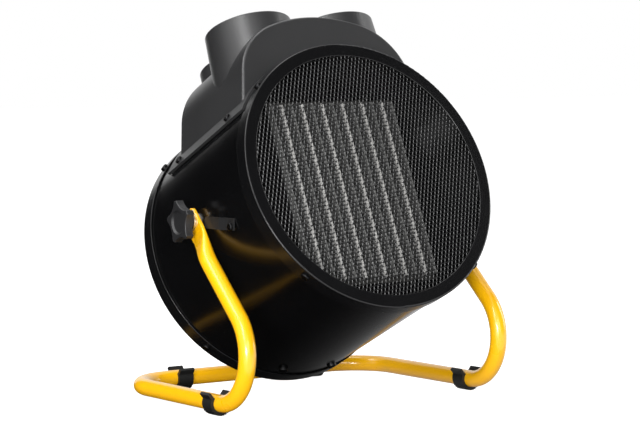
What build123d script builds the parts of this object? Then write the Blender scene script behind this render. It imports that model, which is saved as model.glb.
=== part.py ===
from build123d import *
import math
import os

# A forced air heater: a round steel drum with a ceramic heating block behind a mesh, a fan
# behind the block, a moulded control hood on top, and a bent tube stand that the drum tilts on.
#
# Millimetres, +Z up. X runs across the heater, and the outlet faces -Y and up. The origin is on
# the floor under the middle of the whole heater. Pieces are drawn with the tilt axis above y = 0
# and filed PIVOT_Y further along. The drum's own directions are "u", forward along its axis, and
# "v", up and square to it, and drum parts are drawn with u along -Y and v along +Z.

# ---- stand -----------------------------------------------------------------------------------
TUBE_R = 7.0              # bent steel tube, 14 mm across
TUBE_WALL = 1.5
SOLE = 3.0                # rubber under the tube
LEG_Z = SOLE + TUBE_R     # height of the legs' centre line
LEG_X = 123.1             # half the distance between the two legs' centre lines
ARM_X = 120.9             # the arms lean in a little towards the tilt axis
PIVOT_Z = LEG_Z + 142.4   # height of the tilt axis
PIVOT_Y = -9.8            # the tilt axis is a little in front of the whole heater's middle
TILT = 24.0               # the drum's nose-up angle at rest
TAB_ANGLE = 45.4          # the arm's slope below the horizontal at its flattened end
ARM_ANGLE = 41.5          # and along the tube
KNEE_DISTANCE = 46.0      # from the tilt axis to the slight bend between those two slopes
KNEE_BEND_R = 60.0
FRONT_BEND_R = 40.5
REAR_BEND_R = 42.0
CROSSBAR_Y = 114.0
TAB_WIDTH = 20.0          # the tube pressed flat
TAB_THICK = 3.4
TAB_LENGTH = 15.0         # from the tilt axis to where the flat starts to swell
TAB_END = 9.4             # and to its free end
TAB_CORNER_R = 6.5
SWELL_END = 13.3          # the swelling's thickness where it meets the round tube
TUBE_START = 42.0         # from the tilt axis to where the tube is round
CLIP_LENGTH = 14.0
CLIP_WALL = 2.6
CLIP_RIB = 13.0           # degrees from one rib of the foot's underside to the next
FRONT_CLIP_Y = -42.8
REAR_CLIP_X = 67.5

# ---- drum ------------------------------------------------------------------------------------
DRUM_R = 113.5
SHEET = 1.0
RING_R = 115.0
RING_OPEN_R = 104.3
RING_SHEET = 1.5
RING_U = 92.5             # front face of the front ring; the rear ring mirrors it
RING_DEPTH = 14.0
SHELL_U = 89.6            # the drum sheet ends inside the rings
MESH_U = (89.7, 90.7)
MESH_PITCH = 12.0         # coarse pitch of the net that stands for the fine mesh
MESH_WEB = 1.2
MESH_TURN = 9.5           # the mesh's rows lean this much in the ring
RING_SCREW_U = 85.5
RING_SCREW_ANGLES = (-135, -45, 45, 135)

# ---- heating block ---------------------------------------------------------------------------
BLOCK_FRONT_U = 64.0
BLOCK_DEPTH = 20.0
BLOCK_HEIGHT = 153.0
BLOCK_V = -2.0
BAR_PITCH = 19.73         # from one heating bar to the next
BAR_COUNT = 6
BAR_WIDTH = 2.3
PLATE_WIDTH = 1.2
FOLD_PITCH = 3.0
FIN_SHEET = 0.4
HOLDER_HEIGHT = 12.0
HOLDER_FRONT_U = 57.4
BAFFLE_U = (57.6, 58.6)
WINDOW = ((-61.5, -82.5), (63.5, 78.5))   # corners of the baffle's window in x and v
LINER_R = DRUM_R - SHEET - 0.3            # sheet parts that line the drum

# ---- fan and motor ---------------------------------------------------------------------------
SHROUD_U = (-22.0, -8.0)
SHROUD_OPEN_R = 97.0
SHROUD_SCREW_U = -14.0
FAN_R = 93.0
FAN_U = (-38.0, -12.0)
FAN_BLADES = 7
HUB_R = 21.0
MOTOR_R = 32.0
MOTOR_U = (-73.5, -43.0)
SHAFT_R = 3.0
BRIDGE_U = -75.5          # front face of the motor's bridge
BRIDGE_FOOT_X = 24.0
BRIDGE_SCREW_U = -67.0

# ---- hood ------------------------------------------------------------------------------------
HOOD_U = (-46.0, 69.0)
HOOD_WALL = 2.5
ARCH_TOP_V = 151.2
ARCH_TOP_R = 136.0
SHOULDER_R = 57.0
SIDE_X = 89.9             # half width of the arch at v = 70
SIDE_LEAN = math.degrees(math.atan(0.26))
SKIRT_R = (114.0, 116.4)
SKIRT_U = (-57.5, 77.5)
SKIRT_ANGLE = 56.0
HOOD_SCREW_ANGLE = 53.0
HOOD_SCREW_U = (-40.0, 48.0)
WELL_X = 41.0
WELL_U = 29.6
WELL_RIM_V = 157.5
WELL_FLOOR_V = 130.0
WELL_R = 36.8
REAR_WELL_U = -55.0
REAR_WELL_RIM_V = 162.7
REAR_WELL_FLOOR_V = 142.5
REAR_WELL_R = 37.5
WELL_WALL = 2.8
DRAFT = 3.0
REAR_DRAFT = 1.5
GLAND_X = 58.0
GLAND_V = 115.5
CORD_R = 4.1

# ---- controls --------------------------------------------------------------------------------
DIAL_R = 27.0
BUTTON_R = 5.0
BUTTON_TRAVEL = 3.0

# ---- pivots ----------------------------------------------------------------------------------
TAB_X = (116.5, 119.9)
BOSS_R = 6.8                  # round spacer between the drum and the arm's eye
BOSS_FACE_X = 116.4
NUT_X = 107.2                 # inner face of the nut, which sits inside the drum
STOP_X = (114.0, 115.2)       # inner and outer face of the tilt stop's raised end
STOP_Y = (-14.0, -37.5, -47.5, -56.5)     # its end, its two bends and the end of its foot
STOP_WIDTH = 9.8
STOP_SHEET = 1.2
STOP_SCREW_Y = -52.1
STOP_SCREW_RISE = -2.0
STUD_R = 3.0
WASHER_R = 8.5
KNOB_FACE_X = 132.3
KNOB_BACK_X = 125.6
KNOB_LOBE_R = 17.6
KNOB_HUB_R = 7.5              # the neck between the lobes and the washer
KNOB_TURN = 48.0              # where the lobes stand at rest
SCALLOP_AT = 29.2             # the hollows between the lobes
SCALLOP_R = 16.5

SCREW_R = 1.75
SCREW_HOLE_R = 2.05

nodes = {}


def tilted(shape):
    """Carries a shape drawn in the drum's own directions to its tilted place on the stand."""
    return Pos(0, 0, PIVOT_Z) * Rot(-TILT, 0, 0) * shape


def keep(name, *shapes):
    """Files one or more separate solids under a node's name."""
    moved = [Pos(0, PIVOT_Y, 0) * shape for shape in shapes]
    nodes[name] = moved[0] if len(moved) == 1 else Compound(children=moved)


def rod(radius, u_low, u_high, x=0.0, v=0.0):
    """A cylinder along the drum's axis direction, from u_low to u_high."""
    return Pos(x, -(u_low + u_high) / 2, v) * Rot(90, 0, 0) * Cylinder(radius, u_high - u_low)


def pipe(outer, inner, u_low, u_high, x=0.0, v=0.0):
    """A tube along the drum's axis direction."""
    return rod(outer, u_low, u_high, x, v) - rod(inner, u_low - 1, u_high + 1, x, v)


def block(x_low, x_high, u_low, u_high, v_low, v_high):
    """A box given by its limits in x, u and v."""
    size = (x_high - x_low, u_high - u_low, v_high - v_low)
    return Pos((x_low + x_high) / 2, -(u_low + u_high) / 2, (v_low + v_high) / 2) * Box(*size)


def post(radius, v_low, v_high, x=0.0, u=0.0):
    """A cylinder along v."""
    return Pos(x, -u, (v_low + v_high) / 2) * Cylinder(radius, v_high - v_low)


def side_rod(radius, x_low, x_high, y=0.0, z=PIVOT_Z):
    """A cylinder along X, in the stand's directions."""
    return Pos((x_low + x_high) / 2, y, z) * Rot(0, 90, 0) * Cylinder(radius, x_high - x_low)


def pan_screw(length, head_r=3.4, head_h=2.2, shank_r=SCREW_R):
    """A pan-head screw with a cross recess: its head stands on z = 0 and its shank points down."""
    dome = Cylinder(head_r, head_h)
    dome = fillet(dome.edges().group_by(Axis.Z)[-1], head_h * 0.55)
    head = Pos(0, 0, head_h / 2) * dome
    cross = Box(head_r * 1.2, 0.8, 1.6) + Box(0.8, head_r * 1.2, 1.6)
    return head - Pos(0, 0, head_h) * cross + Pos(0, 0, -length / 2) * Cylinder(shank_r, length)


def around(angle, u, radius, shape):
    """Stands a shape on the drum's side, its +Z pointing out, at an angle from the top."""
    return Rot(0, angle, 0) * Pos(0, -u, radius) * shape


def radial_hole(angle, u, radius=SCREW_HOLE_R):
    """A cutter for a hole through the drum's wall."""
    return around(angle, u, DRUM_R, Cylinder(radius, 14))


def sector(half_angle, u_low, u_high, reach=220.0):
    """A wedge about the drum's axis, open upwards, that cuts curved pieces to length."""
    edge_x = reach * math.sin(math.radians(half_angle))
    edge_v = reach * math.cos(math.radians(half_angle))
    outline = Polyline((0, 0), (-edge_x, edge_v), (-edge_x, reach), (edge_x, reach), (edge_x, edge_v),
                       close=True)
    wedge = extrude(Plane.XZ * make_face(outline), amount=u_high - u_low)
    return Pos(0, -u_low, 0) * wedge


# ---- the stand ---------------------------------------------------------------------------------
def arm_point(distance):
    """Where the arm's centre line is, this far from the tilt axis along its flattened end."""
    slope = math.radians(TAB_ANGLE)
    return -distance * math.cos(slope), PIVOT_Z - distance * math.sin(slope)


def stand_route():
    """Corner points of the tube's centre line, from the left arm round to the right arm."""
    start_y, start_z = arm_point(TUBE_START)
    knee_y, knee_z = arm_point(KNEE_DISTANCE)
    corner_y = knee_y - (knee_z - LEG_Z) / math.tan(math.radians(ARM_ANGLE))
    left = [
        (-ARM_X, start_y, start_z),
        (-ARM_X, knee_y, knee_z),
        (-LEG_X, corner_y, LEG_Z),
        (-LEG_X, CROSSBAR_Y, LEG_Z),
    ]
    right = [(-x, y, z) for x, y, z in reversed(left)]
    return left + right


def stand_tab(side):
    """The pressed end of one arm: a flat eye for the clamp stud that swells into the round tube."""
    middle_x = side * (TAB_X[0] + TAB_X[1]) / 2
    along = Location((0, 0, PIVOT_Z), (TAB_ANGLE, 0, 0))     # local -Y runs down the arm
    middle_y = (TAB_END - TAB_LENGTH) / 2
    eye = Pos(0, middle_y, 0) * Box(TAB_THICK, TAB_END + TAB_LENGTH, TAB_WIDTH)
    eye = fillet(eye.edges().filter_by(Axis.X).group_by(Axis.Y)[-1], TAB_CORNER_R)
    eye = chamfer(eye.faces().sort_by(Axis.X)[0].edges() + eye.faces().sort_by(Axis.X)[-1].edges(), 0.8)
    hole = Rot(0, 90, 0) * Cylinder(STUD_R + 0.4, 3 * TAB_THICK)
    plate = along * Pos(middle_x, 0, 0) * (eye - hole)
    sections = []
    for step in range(7):
        share = step / 6
        ease = share * share * (3 - 2 * share)
        thick = TAB_THICK - 0.04 + (SWELL_END - TAB_THICK + 0.04) * ease
        x = middle_x + (side * ARM_X - middle_x) * ease
        y = -(TAB_LENGTH - 1) - share * (TUBE_START - TAB_LENGTH + 1)
        plane = Plane(origin=(x, y, 0), x_dir=(0, 0, 1), z_dir=(0, -1, 0))
        sections.append(plane * SlotOverall(squashed_width(thick), thick))
    swell = along * loft(sections)
    return plate + swell


def squashed_width(thick):
    """How wide the round tube gets when it is pressed this thick and keeps its girth."""
    return thick + math.pi * (TUBE_R - thick / 2)


def stand_tube():
    route = FilletPolyline(*stand_route(), radius=[
        KNEE_BEND_R, FRONT_BEND_R, REAR_BEND_R, REAR_BEND_R, FRONT_BEND_R, KNEE_BEND_R])
    mouth = Plane(origin=route @ 0, z_dir=route % 0)
    wall = Circle(TUBE_R) - Circle(TUBE_R - TUBE_WALL)
    tube = sweep(mouth * wall, path=route)
    area = math.pi * (TUBE_R ** 2 - (TUBE_R - TUBE_WALL) ** 2)
    print("stand tube", round(route.length), "mm, volume over section times length",
          round(tube.volume / (area * route.length), 4))
    return tube + stand_tab(-1) + stand_tab(1)


def clip_foot():
    """A rubber saddle on the underside of the tube, drawn with the tube along X through the origin.
    Its upper ends turn out as lips and its thicker underside is ribbed."""
    inner = TUBE_R + 0.08
    outer = inner + CLIP_WALL
    wrap = 118.0                                  # degrees round from the bottom on each side
    lip_reach = 5.5
    gap_x = 2 * outer * math.sin(math.radians(180 - wrap))
    body = Cylinder(outer, CLIP_LENGTH)
    sole_r = TUBE_R + SOLE
    body += Cylinder(sole_r, CLIP_LENGTH) & Pos(0, -sole_r, 0) * Box(16.5, 2 * sole_r - 11, CLIP_LENGTH)
    body -= Cylinder(inner, CLIP_LENGTH + 2)
    top_y = -outer * math.cos(math.radians(wrap))
    body -= Pos(0, top_y + outer, 0) * Box(gap_x * 3, 2 * outer, CLIP_LENGTH + 2)
    lips = []
    for side in (-1, 1):
        foot_x = (inner + outer) / 2 * math.sin(math.radians(wrap)) * side
        foot_y = top_y - 0.6
        lip = Pos(foot_x, foot_y, 0) * Rot(0, 0, -side * 38) * Pos(0, lip_reach / 2, 0)
        lips.append(lip * Box(CLIP_WALL, lip_reach, CLIP_LENGTH))
    clip = body + lips[0] + lips[1]
    for index in range(-4, 4):
        groove = Rot(0, 0, (index + 0.5) * CLIP_RIB) * Pos(0, -sole_r, 0) * Box(0.9, 2.0, CLIP_LENGTH + 2)
        clip -= groove
    return Rot(0, 0, 90) * Rot(90, 0, 0) * clip


def stand_parts():
    keep("stand_tube", stand_tube())
    along_y = Rot(0, 0, 90)
    for side, word in ((-1, "left"), (1, "right")):
        keep(f"front_foot_{word}", Pos(side * LEG_X, FRONT_CLIP_Y, LEG_Z) * along_y * clip_foot())
        keep(f"rear_foot_{word}", Pos(side * REAR_CLIP_X, CROSSBAR_Y, LEG_Z) * clip_foot())
        washer = side_rod(WASHER_R, TAB_X[1] + 0.1, TAB_X[1] + 1.6) \
            - side_rod(STUD_R + 0.3, TAB_X[1] - 1, TAB_X[1] + 3)
        keep(f"clamp_washer_{word}", washer if side > 0 else Rot(0, 0, 180) * washer)


# ---- the drum ------------------------------------------------------------------------------------
def shell_cuts():
    """Every hole in the drum's sheet."""
    cuts = []
    for angle in RING_SCREW_ANGLES:
        cuts.append(radial_hole(angle, RING_SCREW_U))
        cuts.append(radial_hole(angle, -RING_SCREW_U))
        cuts.append(radial_hole(angle, SHROUD_SCREW_U))
    for side in (-1, 1):
        foot_angle = math.degrees(math.asin(BRIDGE_FOOT_X / DRUM_R))
        cuts.append(radial_hole(180 + side * foot_angle, BRIDGE_SCREW_U))
        cuts.append(radial_hole(side * foot_angle, BRIDGE_SCREW_U))
        for u in HOOD_SCREW_U:
            cuts.append(radial_hole(side * HOOD_SCREW_ANGLE, u))
        cuts.append(around(side * 90, 0, DRUM_R, Cylinder(STUD_R + 0.5, 14)))
        cuts.append(level_on_drum(side, STOP_SCREW_Y, STOP_SCREW_RISE, Cylinder(SCREW_HOLE_R + 0.2, 14)))
    cuts.append(around(0, 0, DRUM_R, Cylinder(15, 14)))      # way in for the leads under the hood
    return cuts


def ring(front):
    """An L-section ring that caps one end of the drum, its outer edge rounded."""
    sign = 1 if front else -1
    face = RING_U
    outline = FilletPolyline(
        (RING_OPEN_R, face), (RING_R, face), (RING_R, face - RING_DEPTH),
        (DRUM_R + 0.3, face - RING_DEPTH), (DRUM_R + 0.3, face - RING_SHEET),
        (RING_OPEN_R, face - RING_SHEET),
        radius=[0.7, 1.4, 0.5, 0.3, 0.3, 0.7], close=True)
    body = revolve(make_face(outline), Axis.Y)
    if sign > 0:
        body = Rot(180, 0, 0) * body
    cuts = [radial_hole(angle, sign * RING_SCREW_U) for angle in RING_SCREW_ANGLES]
    return body - cuts


def mesh_disc(u_low, u_high):
    """The net: one holed sheet, drawn at a coarse pitch."""
    rim_r = DRUM_R - 0.1
    hole = Rot(0, 0, 30) * RegularPolygon((MESH_PITCH - MESH_WEB) / 2, 6, major_radius=False)
    row_step = MESH_PITCH * math.sqrt(3) / 2
    reach = RING_OPEN_R + 2.0 - MESH_PITCH / 2
    places = []
    rows = int(reach / row_step)
    for row in range(-rows, rows + 1):
        shift = MESH_PITCH / 2 * (row % 2)
        count = int(2 * reach / MESH_PITCH) + 2
        for index in range(-count, count + 1):
            x = index * MESH_PITCH + shift
            y = row * row_step
            if math.hypot(x, y) < reach:
                places.append((x, y))
    sheet = Circle(rim_r) - [Pos(x, y) * hole for x, y in places]
    print("mesh gaps", len(places))
    turned = Rot(90, 0, 0) * Rot(0, 0, MESH_TURN) * extrude(sheet, u_high - u_low)
    return Pos(0, -u_low, 0) * turned


def drum_parts():
    shell = pipe(DRUM_R, DRUM_R - SHEET, -SHELL_U, SHELL_U) - shell_cuts()
    keep("drum_shell", tilted(shell))
    keep("front_ring", tilted(ring(True)))
    keep("rear_ring", tilted(ring(False)))
    keep("front_mesh", tilted(mesh_disc(*MESH_U)))
    keep("rear_mesh", tilted(mesh_disc(-MESH_U[1], -MESH_U[0])))
    screw = pan_screw(6.0)
    seat = RING_R + 0.05
    for word, u in (("front", RING_SCREW_U), ("rear", -RING_SCREW_U)):
        keep(f"{word}_ring_screws",
             *[tilted(around(angle, u, seat, screw)) for angle in RING_SCREW_ANGLES])


# ---- the heating block -----------------------------------------------------------------------------
def bar_x(index):
    return (index - (BAR_COUNT - 1) / 2) * BAR_PITCH


def plate_x(index):
    return (index - BAR_COUNT / 2) * BAR_PITCH


def fin_pack(x_low, x_high):
    """One row of folded sheet between a heating bar and a divider."""
    folds = int(BLOCK_HEIGHT / FOLD_PITCH)
    bottom = BLOCK_V - folds * FOLD_PITCH / 2
    rise = FOLD_PITCH / 2
    shift = FIN_SHEET * (x_high - x_low) / (rise + FIN_SHEET)
    left = []
    right = []
    for step in range(2 * folds + 1):
        v = bottom + step * rise
        left.append((x_low if step % 2 else x_high - shift, v))
        right.append((x_low + shift if step % 2 else x_high, v))
    outline = left + right[::-1]
    face = Plane.XZ * make_face(Polyline(*outline, close=True))
    return Pos(0, -(BLOCK_FRONT_U - BLOCK_DEPTH), 0) * extrude(face, BLOCK_DEPTH)


def heating_block_parts():
    low_v = BLOCK_V - BLOCK_HEIGHT / 2
    high_v = BLOCK_V + BLOCK_HEIGHT / 2
    back_u = BLOCK_FRONT_U - BLOCK_DEPTH
    bar_end = HOLDER_HEIGHT - 3
    half_bar = BAR_WIDTH / 2
    half_plate = PLATE_WIDTH / 2
    bars = [block(bar_x(i) - half_bar, bar_x(i) + half_bar, back_u + 0.5, HOLDER_FRONT_U - 1,
                  low_v - bar_end, high_v + bar_end)
            + block(bar_x(i) - half_bar, bar_x(i) + half_bar, back_u + 0.5, BLOCK_FRONT_U - 0.3, low_v, high_v)
            for i in range(BAR_COUNT)]
    keep("heating_bars", *[tilted(bar) for bar in bars])
    plates = [block(plate_x(i) - half_plate, plate_x(i) + half_plate, back_u, BLOCK_FRONT_U, low_v, high_v)
              for i in range(BAR_COUNT + 1)]
    keep("fin_dividers", *[tilted(plate) for plate in plates])
    touch = 0.03
    packs = []
    for i in range(BAR_COUNT):
        packs.append(fin_pack(plate_x(i) + half_plate + touch, bar_x(i) - half_bar - touch))
        packs.append(fin_pack(bar_x(i) + half_bar + touch, plate_x(i + 1) - half_plate - touch))
    keep("heating_fins", *[tilted(pack) for pack in packs])
    half_width = plate_x(BAR_COUNT) + 3.0
    for word, v_low in (("upper", high_v + 0.3), ("lower", low_v - 0.3 - HOLDER_HEIGHT)):
        holder = block(-half_width, half_width, back_u, HOLDER_FRONT_U, v_low, v_low + HOLDER_HEIGHT)
        slots = [block(bar_x(i) - half_bar - 0.1, bar_x(i) + half_bar + 0.1, back_u + 0.4, HOLDER_FRONT_U - 0.9,
                       low_v - bar_end - 0.1, high_v + bar_end + 0.1) for i in range(BAR_COUNT)]
        slots += [block(bar_x(i) - 0.5, bar_x(i) + 0.5, back_u + 3.9, back_u + 10.1, high_v, high_v + 20)
                  for i in range(BAR_COUNT)]
        screw_v = v_low + HOLDER_HEIGHT / 2
        slots += [rod(SCREW_R + 0.05, HOLDER_FRONT_U - 9, HOLDER_FRONT_U + 1, x, screw_v)
                  for x in HOLDER_SCREW_X]
        keep(f"block_holder_{word}", tilted(holder - slots))
    terminals = []
    for i in range(BAR_COUNT):
        terminals.append(block(bar_x(i) - 0.4, bar_x(i) + 0.4, back_u + 4, back_u + 10,
                               high_v + bar_end + 0.2, high_v + HOLDER_HEIGHT + 8))
    keep("bar_terminals", *[tilted(tab) for tab in terminals])


HOLDER_SCREW_X = (-BAR_PITCH * 2, BAR_PITCH * 2)


def baffle_parts():
    """The dished plate that holds the block and makes the air pass through it."""
    (x_low, v_low), (x_high, v_high) = WINDOW
    plate = rod(LINER_R, *BAFFLE_U) - block(x_low, x_high, BAFFLE_U[0] - 1, BAFFLE_U[1] + 1, v_low, v_high)
    rim = pipe(LINER_R, LINER_R - SHEET, BAFFLE_U[0], RING_SCREW_U + 3.5)
    cuts = [radial_hole(angle, RING_SCREW_U, SCREW_R + 0.1) for angle in RING_SCREW_ANGLES]
    high_v = BLOCK_V + BLOCK_HEIGHT / 2 + 0.3 + HOLDER_HEIGHT / 2
    low_v = BLOCK_V - BLOCK_HEIGHT / 2 - 0.3 - HOLDER_HEIGHT / 2
    screws = []
    screw = Rot(90, 0, 0) * pan_screw(8.0)
    for x in HOLDER_SCREW_X:
        for v in (low_v, high_v):
            cuts.append(rod(SCREW_HOLE_R, BAFFLE_U[0] - 1, BAFFLE_U[1] + 1, x, v))
            screws.append(Pos(x, -BAFFLE_U[1] - 0.05, v) * screw)
    keep("air_baffle", tilted(plate + rim - cuts))
    keep("block_screws", *[tilted(one) for one in screws])


# ---- the fan ------------------------------------------------------------------------------------------
def fan_blade():
    """One blade, straight from root to tip and flatter at the tip."""
    sections = []
    for radius, chord, pitch in ((HUB_R - 3, 26.0, 48.0), (FAN_R, 58.0, 22.0)):
        plane = Plane(origin=(0, 0, radius), x_dir=(1, 0, 0), z_dir=(0, 0, 1))
        sections.append(plane * Rot(0, 0, pitch) * RectangleRounded(chord, 2.0, 0.9))
    middle_u = (FAN_U[0] + FAN_U[1]) / 2
    return Pos(0, -middle_u, 0) * loft(sections, ruled=True)


def fan_parts():
    hub = rod(HUB_R, FAN_U[0] + 3, FAN_U[1] + 1) - rod(HUB_R - 2.5, FAN_U[0], FAN_U[1] - 4)
    hub += rod(7.0, FAN_U[0] + 1, FAN_U[1] - 3)
    wheel = hub
    limit = pipe(FAN_R, 7.5, FAN_U[0], FAN_U[1])
    for index in range(FAN_BLADES):
        blade = Rot(0, index * 360 / FAN_BLADES, 0) * fan_blade()
        wheel += (blade & limit) - rod(HUB_R - 1, FAN_U[0] - 5, FAN_U[1] + 5)
    wheel -= rod(SHAFT_R + 0.01, FAN_U[0] - 5, FAN_U[1] + 5)
    keep("fan_wheel", tilted(wheel))
    shaft = rod(SHAFT_R, MOTOR_U[0] + 4, FAN_U[1] + 6)
    keep("motor_shaft", tilted(shaft))
    nut = extrude(RegularPolygon(5.0, 6, major_radius=False), 4.0)
    nut = Pos(0, -(FAN_U[1] + 1.1), 0) * Rot(90, 0, 0) * nut - rod(SHAFT_R + 0.01, FAN_U[1], FAN_U[1] + 8)
    keep("fan_nut", tilted(nut))
    keep("motor_rotor", tilted(pipe(16.0, SHAFT_R + 0.01, MOTOR_U[0] + 6, MOTOR_U[1] - 6)))


def motor_parts():
    back_u, front_u = MOTOR_U
    case = rod(MOTOR_R, back_u, front_u) - rod(MOTOR_R - 2, back_u + 2, front_u - 2)
    case += pipe(8.0, 5.0, back_u + 2, back_u + 5) + rod(8.0, front_u - 1, front_u + 3)
    case += pipe(8.0, 5.0, front_u - 5, front_u - 2)
    case -= rod(5.0, front_u - 5, front_u + 4)
    screw_places = [(x, v) for x in (-17.0, 17.0) for v in (-17.0, 17.0)]
    case -= [rod(SCREW_R + 0.05, back_u - 1, back_u + 2.5, x, v) for x, v in screw_places]
    keep("motor_case", tilted(case))
    keep("motor_stator", tilted(pipe(MOTOR_R - 2.1, 16.6, back_u + 7, front_u - 7)))
    bush = pipe(4.95, SHAFT_R + 0.05, front_u - 5, front_u + 3)
    rear_bush = pipe(4.95, SHAFT_R + 0.05, back_u + 2.1, back_u + 5)
    keep("motor_bushes", tilted(bush), tilted(rear_bush))
    bridge_back = BRIDGE_U - 2.0
    inside = rod(LINER_R, -SHELL_U, SHELL_U)
    web = block(-30, 30, bridge_back, BRIDGE_U, -LINER_R, LINER_R) & inside
    web -= block(-15, 15, bridge_back - 1, BRIDGE_U + 1, 42, 96)
    web -= block(-15, 15, bridge_back - 1, BRIDGE_U + 1, -96, -42)
    foot = pipe(LINER_R, LINER_R - 2, bridge_back, BRIDGE_SCREW_U + 6) \
        & block(-30, 30, bridge_back - 1, BRIDGE_SCREW_U + 7, -LINER_R, LINER_R)
    bridge = web + foot
    bridge -= [rod(SCREW_HOLE_R, bridge_back - 1, BRIDGE_U + 1, x, v) for x, v in screw_places]
    spacer_gap = back_u - BRIDGE_U
    bridge += [pipe(4.0, SCREW_HOLE_R, BRIDGE_U, BRIDGE_U + spacer_gap, x, v) for x, v in screw_places]
    foot_angle = math.degrees(math.asin(BRIDGE_FOOT_X / DRUM_R))
    angles = [foot_angle, -foot_angle, 180 + foot_angle, 180 - foot_angle]
    bridge -= [radial_hole(angle, BRIDGE_SCREW_U, SCREW_R + 0.1) for angle in angles]
    keep("motor_bridge", tilted(bridge))
    screw = Rot(-90, 0, 0) * pan_screw(4.5)
    keep("motor_screws", *[tilted(Pos(x, -(bridge_back - 0.05), v) * screw) for x, v in screw_places])
    keep("bridge_screws", *[tilted(around(angle, BRIDGE_SCREW_U, DRUM_R + 0.1, pan_screw(5.0, 4.0, 3.0)))
                            for angle in angles])


def shroud_parts():
    """The ring that the fan turns in."""
    back_u, front_u = SHROUD_U
    shroud = pipe(LINER_R, LINER_R - SHEET, back_u, front_u)
    shroud += pipe(LINER_R, SHROUD_OPEN_R, back_u, back_u + SHEET)
    shroud += pipe(SHROUD_OPEN_R + SHEET, SHROUD_OPEN_R, back_u, back_u + 8)
    shroud -= [radial_hole(angle, SHROUD_SCREW_U, SCREW_R + 0.1) for angle in RING_SCREW_ANGLES]
    keep("fan_shroud", tilted(shroud))
    keep("shroud_screws", *[tilted(around(angle, SHROUD_SCREW_U, DRUM_R + 0.05, pan_screw(5.0)))
                            for angle in RING_SCREW_ANGLES])


# ---- the hood -------------------------------------------------------------------------------------------
def arch_face(inset):
    """The hood's section: leaning sides, round shoulders and a slightly crowned top."""
    lean = math.radians(SIDE_LEAN)
    top_r = ARCH_TOP_R - inset
    shoulder_r = SHOULDER_R - inset
    top_centre_v = ARCH_TOP_V - ARCH_TOP_R
    normal = (math.cos(lean), math.sin(lean))
    uphill = (-math.sin(lean), math.cos(lean))
    start = (SIDE_X - SHOULDER_R * normal[0], 70 - SHOULDER_R * normal[1] - top_centre_v)
    span = ARCH_TOP_R - SHOULDER_R
    along = start[0] * uphill[0] + start[1] * uphill[1]
    rest = start[0] ** 2 + start[1] ** 2 - span ** 2
    climb = -along + math.sqrt(along ** 2 - rest)
    centre = (start[0] + climb * uphill[0], start[1] + climb * uphill[1] + top_centre_v)
    blend = math.atan2(centre[0], centre[1] - top_centre_v)
    side_angle = math.pi / 2 - lean

    def shoulder(angle):
        return centre[0] + shoulder_r * math.sin(angle), centre[1] + shoulder_r * math.cos(angle)

    side_top = shoulder(side_angle)
    drop = side_top[1] - 45.0
    foot = (side_top[0] + drop * math.tan(lean), 45.0)
    bend = shoulder((blend + side_angle) / 2)
    join = shoulder(blend)

    def mirror(point):
        return -point[0], point[1]

    crown = (0, top_centre_v + top_r)
    edges = [
        Line(mirror(foot), mirror(side_top)),
        ThreePointArc(mirror(side_top), mirror(bend), mirror(join)),
        ThreePointArc(mirror(join), crown, join),
        ThreePointArc(join, bend, side_top),
        Line(side_top, foot),
        Line(foot, mirror(foot)),
    ]
    return Plane.XZ * make_face(edges)


def arch_solid(inset, u_low, u_high):
    return Pos(0, -u_low, 0) * extrude(arch_face(inset), u_high - u_low)


def tower(radius, rim_v, foot_v, x, u, draft):
    """A round tower that widens downwards by the moulding draft."""
    height = rim_v - foot_v
    foot_r = radius + height * math.tan(math.radians(draft))
    cone = Cone(foot_r, radius, height)
    cone = fillet(cone.edges().group_by(Axis.Z)[-1], 1.0)
    return Pos(x, -u, (rim_v + foot_v) / 2) * cone


WELLS = (
    (-WELL_X, WELL_U, WELL_R, WELL_RIM_V, WELL_FLOOR_V),
    (WELL_X, WELL_U, WELL_R, WELL_RIM_V, WELL_FLOOR_V),
    (0.0, REAR_WELL_U, REAR_WELL_R, REAR_WELL_RIM_V, REAR_WELL_FLOOR_V),
)


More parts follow.
